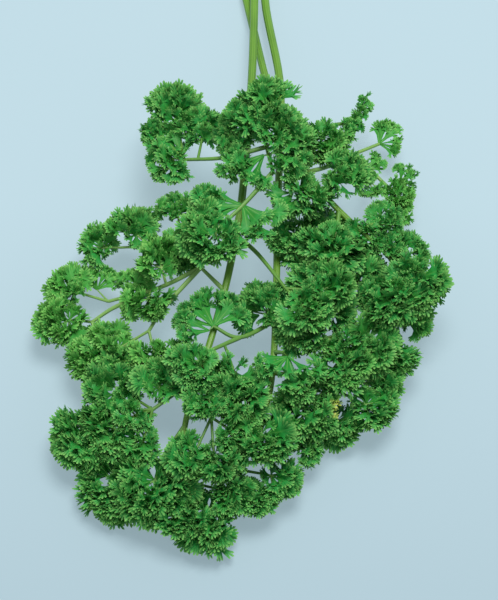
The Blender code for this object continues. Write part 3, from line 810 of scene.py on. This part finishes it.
# CREASE_SHADE is painted shade, darkest near the notches between the lobules
CREASE_SHADE = ((0.5, 0), (0.76, 0.38), (0.88, 0))
FAN_VEINS = ((0.5, 0), (0.66, 0.28))
MIDRIB = ((0.1, 0.5), (0.65, 0))
HALF_VEIN_GAP = 0.5
FAN_VEIN_FALL = 4.0
MIDRIB_FALL = 0.5
# The pale of the tips is partly a painted highlight
TIP_POWER = 9.0
TIP_SHARE = 0.75
LEAF_GRAIN_SCALE = 900
LEAF_GRAIN_DETAIL = 3
LEAF_BUMP = 0.3
# One leaflet has withered: where it is, how far round there, and how its ragged edge fades. Noise of
# NOISE_MIDDLE leaves the reach as it is
WITHERED_AT = (29.3, -40.8, 17)
WITHERED_REACH = 4.5
WITHERED_SCALE = 500
WITHERED_DETAIL = 1
WITHERED_EDGE = ((0.6, 1), (0.9, 0))
WITHERED_SHARE = 0.3
WITHERED_TIP_SHARE = 0.6
NOISE_MIDDLE = 0.5


def shown(tree, value, stops):
    """How much of a colour shows, by (place, share) on a value, as a ramp's socket."""
    return ramp(tree, value, [(at, (share, share, share)) for at, share in stops])


def withering(tree, tip):
    """How yellow the skin is: most at the tips of the one withered leaflet, and not at all away."""
    away = add_node(tree, "ShaderNodeVectorMath", operation="DISTANCE")
    tree.links.new(add_node(tree, "ShaderNodeTexCoord").outputs["Object"], away.inputs[0])
    away.inputs[1].default_value = placed(WITHERED_AT)
    reached = maths(tree, "DIVIDE", away.outputs["Value"], WITHERED_REACH * MM)
    ragged = maths(tree, "ADD", noise(tree, WITHERED_SCALE, WITHERED_DETAIL), NOISE_MIDDLE)
    near = shown(tree, maths(tree, "MULTIPLY", reached, ragged), WITHERED_EDGE)
    share = maths(tree, "ADD", maths(tree, "MULTIPLY", tip, WITHERED_TIP_SHARE), WITHERED_SHARE)
    return maths(tree, "MULTIPLY", near, share)


def leaf_skin(name, deep, mid, fresh, base, pale, yellowed):
    """Satin leaf skin: mottled green in a tone per spray that is partly painted shade, smoother and
    plainer near the stalk, with painted shade in its creases, pale veins, pale tips that are partly a
    painted highlight, and yellowed on the withered leaflet.
    """
    material, tree, shader = new_material(name, LEAF_ROUGHNESS, LEAF_GLOSS)
    place = add_node(tree, "ShaderNodeSeparateXYZ")
    tree.links.new(attribute(tree, "leaf_place").outputs["Vector"], place.inputs[0])
    vein, along = place.outputs[0], place.outputs[1]
    mottled = ramp(tree, noise(tree, MOTTLE_SCALE, MOTTLE_DETAIL),
                   ((MOTTLE_DEEP_AT, deep), (MOTTLE_MID_AT, mid)))
    # the tone of each spray is partly painted shade
    freshness_and_shade = maths(tree, "POWER", attribute(tree, "shade").outputs["Fac"], FRESHNESS_AND_SHADE_POWER)
    toned = blend(tree, freshness_and_shade, mottled, fresh)
    based = blend(tree, shown(tree, along, SMOOTH_BASE), toned, base)
    # painted shade in the creases
    crease_shaded = blend(tree, shown(tree, along, CREASE_SHADE), based, deep)
    beside = maths(tree, "MULTIPLY", maths(tree, "PINGPONG", vein, HALF_VEIN_GAP), FAN_VEIN_FALL)
    fine = maths(tree, "MAXIMUM", maths(tree, "SUBTRACT", 1.0, beside), 0.0)
    fan_veined = blend(tree, maths(tree, "MULTIPLY", fine, shown(tree, along, FAN_VEINS)), crease_shaded, pale)
    aside = maths(tree, "ABSOLUTE", maths(tree, "MULTIPLY", vein, MIDRIB_FALL))
    wide = maths(tree, "MAXIMUM", maths(tree, "SUBTRACT", 1.0, aside), 0.0)
    veined = blend(tree, maths(tree, "MULTIPLY", wide, shown(tree, along, MIDRIB)), fan_veined, pale)
    tip = maths(tree, "POWER", maths(tree, "MAXIMUM", along, 0.0), TIP_POWER)
    # pale tips, partly a painted highlight
    tip_highlighted = blend(tree, maths(tree, "MULTIPLY", tip, TIP_SHARE), veined, pale)
    tree.links.new(blend(tree, withering(tree, tip), tip_highlighted, yellowed), shader.inputs["Base Color"])
    bumped(tree, shader, noise(tree, LEAF_GRAIN_SCALE, LEAF_GRAIN_DETAIL), LEAF_BUMP)
    return material


LEAFLET_KINDS = 14
WEDGE_KINDS = 5
LOBE_SPLAY = 31
WEDGE_SPLAY = 21
rng = random.Random(5)
leaflet_kinds = bpy.data.collections.new("leaflet_kinds")
for index in range(LEAFLET_KINDS):
    leaflet_kinds.objects.link(leaflet(f"leaflet_{index:02d}", LOBE_SPLAY, STRAP, FAN_RADII, rng))
for index in range(WEDGE_KINDS):
    leaflet_kinds.objects.link(leaflet(f"wedge_{index:02d}", WEDGE_SPLAY, WEDGE, WEDGE_RADII, rng))
leaflets_on_hubs = leaflet_tree()
leaf_green = leaf_skin("leaf_skin", deep=(0.001, 0.19, 0.034), mid=(0.006, 0.29, 0.055),
                       fresh=(0.085, 0.4, 0.064), base=(0.035, 0.215, 0.026),
                       pale=(0.34, 0.62, 0.17), yellowed=(0.62, 0.56, 0.1))


def toward(azimuth, rise):
    """The direction of an azimuth and a rise, in degrees."""
    azimuth, rise = math.radians(azimuth), math.radians(rise)
    return Vector((math.cos(azimuth) * math.cos(rise), math.sin(azimuth) * math.cos(rise),
                   math.sin(rise)))


LEAFLET_REACH = 9.1
WEDGE_REACH = 10.8
LARGEST_LEAFLET = 1.12
LEAF_ROLL = (-65, 65)
WEDGE_ROLL_SHARE = 0.25
# Most tufts: the leaflets on the branches, then those behind the hub and on the crown. Turns and
# tilts are in degrees; places and lengths are shares of the tuft's reach
LEAVES_IN_TUFT = 12
LEAVES_BEHIND = 2
LEAVES_IN_CROWN = 3
BRANCHES = 3
USUAL_REACH = 12
USUAL_SPREAD = 80
REACH_POWER = 1.5
ALONG_BRANCH = (0, 0.42)
BRANCH_TILT = 6
SIDE_TURN = 0.6
SIDE_RANGE = (0.15, 1)
LEAF_TURN = (-28, 28)
LOW_TILT = -8
TILT_RANGE = 46
LEAF_LENGTH = 1.04
LENGTH_LOST_OUT = 0.85
LENGTH_LOST_UP = 0.25
STEEP_TILT = 70
LENGTH_RANGE = (0.92, 1.1)
BEHIND_TURN = (100, 150)
BEHIND_TILT = (0, 35)
BEHIND_LENGTH = (0.5, 0.65)
CROWN_BRANCH_TURN = 0.7
CROWN_BRANCH_TILT = 10
CROWN_OUT = (-0.2, 0.28)
CROWN_TURN = (-60, 60)
CROWN_TILT = (30, 60)
CROWN_LENGTH = (0.45, 0.6)
WIDEST_CROWN = 13
# Bare tufts: smooth wedges fan out from the hub, with small leaflets over their ends
WEDGE_ANGLE = 38
WEDGE_TURN = (-6, 6)
WEDGE_TILT = (-8, 14)
WEDGE_LENGTH = (0.7, 0.85)
BARE_LEAVES = 7
BARE_PLACE_TURN = (-8, 8)
BARE_OUT = (0.45, 0.6)
BARE_TURN = (-30, 30)
BARE_TILT = (-6, 30)
BARE_LENGTH = 0.42


def tuft_leaflets(tuft, rng):
    """The leaflets of one tuft, as (start, turn, size, kind)."""
    hub_point, heading, reach, half_spread, *bare = tuft
    made = []

    def put(turn, tilt, out, long, wedge=False):
        """Adds a leaflet whose tips are this far from a place that lies this far out of the hub."""
        whole = WEDGE_REACH if wedge else LEAFLET_REACH
        scale = min(long / whole, LARGEST_LEAFLET)
        long = scale * whole if wedge else long
        direction = toward(heading + turn, tilt)
        start = placed(hub_point) + (out + direction * (long - scale * whole)) * MM
        roll = math.radians(rng.uniform(*LEAF_ROLL) * (WEDGE_ROLL_SHARE if wedge else 1))
        kind = LEAFLET_KINDS + rng.randrange(WEDGE_KINDS) if wedge else rng.randrange(LEAFLET_KINDS)
        made.append((start, (roll, -math.radians(tilt), math.radians(heading + turn)), scale, kind))

    if bare:
        wedges = max(round(half_spread / WEDGE_ANGLE), 1)
        for index in range(wedges):
            turn = half_spread * ((2 * index + 1) / wedges - 1) + rng.uniform(*WEDGE_TURN)
            put(turn, rng.uniform(*WEDGE_TILT), Vector(), reach * rng.uniform(*WEDGE_LENGTH), True)
        count = round(BARE_LEAVES * half_spread / USUAL_SPREAD) + 1
        for index in range(count):
            turn = half_spread * (2 * index / (count - 1) - 1) + rng.uniform(*BARE_PLACE_TURN)
            out = toward(heading + turn, 0) * reach * rng.uniform(*BARE_OUT)
            put(turn + rng.uniform(*BARE_TURN), rng.uniform(*BARE_TILT), out, reach * BARE_LENGTH)
        return made
    count = round(LEAVES_IN_TUFT * (reach / USUAL_REACH)**REACH_POWER * half_spread / USUAL_SPREAD)
    for index in range(count):
        branch = (index % BRANCHES - 1) * half_spread * BRANCH_TURN
        share = rng.uniform(*ALONG_BRANCH) if index >= BRANCHES else BRANCH_REACH
        side = ((1 if index % 2 else -1) * rng.uniform(*SIDE_RANGE) * (1 - share) * half_spread
                * SIDE_TURN)
        tilt = LOW_TILT + TILT_RANGE * rng.random()
        kept = LEAF_LENGTH - LENGTH_LOST_OUT * share - LENGTH_LOST_UP * max(tilt, 0) / STEEP_TILT
        long = reach * kept * rng.uniform(*LENGTH_RANGE)
        out = toward(heading + branch, BRANCH_TILT) * reach * share
        put(branch + side + rng.uniform(*LEAF_TURN), tilt, out, long)
    for index in range(LEAVES_BEHIND):
        put((1 if index % 2 else -1) * rng.uniform(*BEHIND_TURN), rng.uniform(*BEHIND_TILT), Vector(),
            reach * rng.uniform(*BEHIND_LENGTH))
    for index in range(LEAVES_IN_CROWN):
        branch = (index % BRANCHES - 1) * half_spread * CROWN_BRANCH_TURN
        out = toward(heading + branch, CROWN_BRANCH_TILT) * reach * rng.uniform(*CROWN_OUT)
        put(branch + rng.uniform(*CROWN_TURN), rng.uniform(*CROWN_TILT), out,
            min(reach, WIDEST_CROWN) * rng.uniform(*CROWN_LENGTH))
    return made


# Leaflets that would sink into the floor are pressed flat within this height of it
SOFT_HEIGHT = 1.2
# How fresh a green each spray's leaflets are, from 0 to 1; values under USUAL_TONE are partly painted
# shade, on the sprays that lie low down and in the middle of the bunch
USUAL_TONE = 0.3
TONE_RANGE = (-0.3, 0.3)
TONES_AND_SHADE = {
    "spray_left_1": 0.55, "spray_left_3": 0.95, "spray_left_4": 0.2, "spray_left_5": 0.3,
    "spray_left_6": 0.2, "spray_left_7": 0.15, "spray_right_2": 0.15, "spray_right_3": 0.25,
    "spray_right_4": 0.35, "spray_right_5": 0.25, "spray_right_6": 0.2, "spray_right_7": 0.2,
    "spray_right_9": 0.15, "spray_middle_2": 0.6, "spray_middle_3": 1.0, "spray_middle_6": 0.15,
    "spray_middle_7": 0.2, "spray_middle_8": 0.2,
}
for name, spray in SPRAYS.items():
    leaves = [leaf for tuft in spray[3] for leaf in tuft_leaflets(tuft, rng)]
    points, turns, sizes, kinds = zip(*leaves)
    tone = TONES_AND_SHADE.get(name, USUAL_TONE)
    shades = [min(max(tone + rng.uniform(*TONE_RANGE), 0), 1) for _ in leaves]
    hubs = bpy.data.meshes.new(name + "_hubs")
    hubs.from_pydata(points, [], [])
    hubs.attributes.new("turn", "FLOAT_VECTOR", "POINT").data.foreach_set(
        "vector", [value for turn in turns for value in turn])
    hubs.attributes.new("size", "FLOAT", "POINT").data.foreach_set("value", sizes)
    hubs.attributes.new("kind", "INT", "POINT").data.foreach_set("value", kinds)
    hubs.attributes.new("shade", "FLOAT", "POINT").data.foreach_set("value", shades)
    leaflets = grown(name + "_leaflets", hubs, leaflets_on_hubs, {
        "Leaflets": leaflet_kinds, "Soft Height": SOFT_HEIGHT * MM, "Surface": leaf_green,
    })
    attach(leaflets, "root")
    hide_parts(name)
for kind in list(leaflet_kinds.objects):
    bpy.data.objects.remove(kind, do_unlink=True)
bpy.data.collections.remove(leaflet_kinds)


# The floor, the light and the camera: one plain, pale and matt board under the bunch that also glows
# with painted light, which fades a little towards the camera, an even sky, and one large soft lamp
# high above that casts the shadows.
# The camera looks down at the foliage from the photograph's angle.

FLOOR_SIZE = 4.0
FLOOR_ROUGHNESS = 0.9
FLOOR_GLOSS = 0.1
FLOOR_COLOUR = (0.19, 0.25, 0.28, 1)
FLOOR_GLOW = ((0.0, (0.2, 0.275, 0.315)), (0.8, (0.30, 0.40, 0.444)))
FLOOR_GLOW_SLOPE = 4.0
FLOOR_GLOW_AT_MIDDLE = 0.8
floor_mesh = bpy.data.meshes.new("floor")
floor_mesh.from_pydata(
    [(x * FLOOR_SIZE / 2, y * FLOOR_SIZE / 2, 0) for x, y in ((-1, -1), (1, -1), (1, 1), (-1, 1))],
    [], [(0, 1, 2, 3)])
floor = bpy.data.objects.new("floor", floor_mesh)
bpy.context.scene.collection.objects.link(floor)
floor_paint, floor_nodes, floor_shader = new_material("floor_paint", FLOOR_ROUGHNESS, FLOOR_GLOSS)
floor_shader.inputs["Base Color"].default_value = FLOOR_COLOUR
floor_place = add_node(floor_nodes, "ShaderNodeSeparateXYZ")
floor_nodes.links.new(add_node(floor_nodes, "ShaderNodeTexCoord").outputs["Object"],
                      floor_place.inputs[0])
# The floor's glow is painted light that lifts the shadows, and it fades towards the camera
slope = maths(floor_nodes, "MULTIPLY", floor_place.outputs[1], FLOOR_GLOW_SLOPE)
painted_glow = ramp(floor_nodes, maths(floor_nodes, "ADD", slope, FLOOR_GLOW_AT_MIDDLE), FLOOR_GLOW)
floor_nodes.links.new(painted_glow, floor_shader.inputs["Emission Color"])
floor_shader.inputs["Emission Strength"].default_value = 1.0
floor_mesh.materials.append(floor_paint)

SKY_COLOUR = (0.9, 0.96, 1.0, 1)
SKY_STRENGTH = 0.45
world = bpy.data.worlds.new("daylight")
world.use_nodes = True
sky = world.node_tree.nodes["Background"]
sky.inputs["Color"].default_value = SKY_COLOUR
sky.inputs["Strength"].default_value = SKY_STRENGTH
bpy.context.scene.world = world

LAMP_PLACE = Vector((0.14, 0.2, 1.3))
LAMP_AIM = Vector((0, -0.03, 0))
LAMP_SIZE = 0.6
LAMP_POWER = 17
LAMP_COLOUR = (1.0, 0.98, 0.94)
window_light = bpy.data.lights.new("window", "AREA")
window_light.shape = "SQUARE"
window_light.size = LAMP_SIZE
window_light.energy = LAMP_POWER
window_light.color = LAMP_COLOUR
window = bpy.data.objects.new("window", window_light)
window.location = LAMP_PLACE
window.rotation_euler = (LAMP_AIM - LAMP_PLACE).to_track_quat("-Z", "Y").to_euler()
bpy.context.scene.collection.objects.link(window)
bpy.context.scene.view_settings.view_transform = "Standard"

CAMERA_AIM = Vector((1.1 * MM, -46.8 * MM, 15 * MM))
CAMERA_AWAY = 0.6
CAMERA_PITCH = math.radians(62)
CAMERA_LENS = 108
CAMERA_SENSOR = 36
camera_data = bpy.data.cameras.new("camera")
camera_data.lens = CAMERA_LENS
camera_data.sensor_width = CAMERA_SENSOR
camera = bpy.data.objects.new("camera", camera_data)
camera.location = CAMERA_AIM + CAMERA_AWAY * Vector(
    (0, -math.cos(CAMERA_PITCH), math.sin(CAMERA_PITCH)))
camera.rotation_euler = (math.pi / 2 - CAMERA_PITCH, 0, 0)
bpy.context.scene.collection.objects.link(camera)
bpy.context.scene.camera = camera
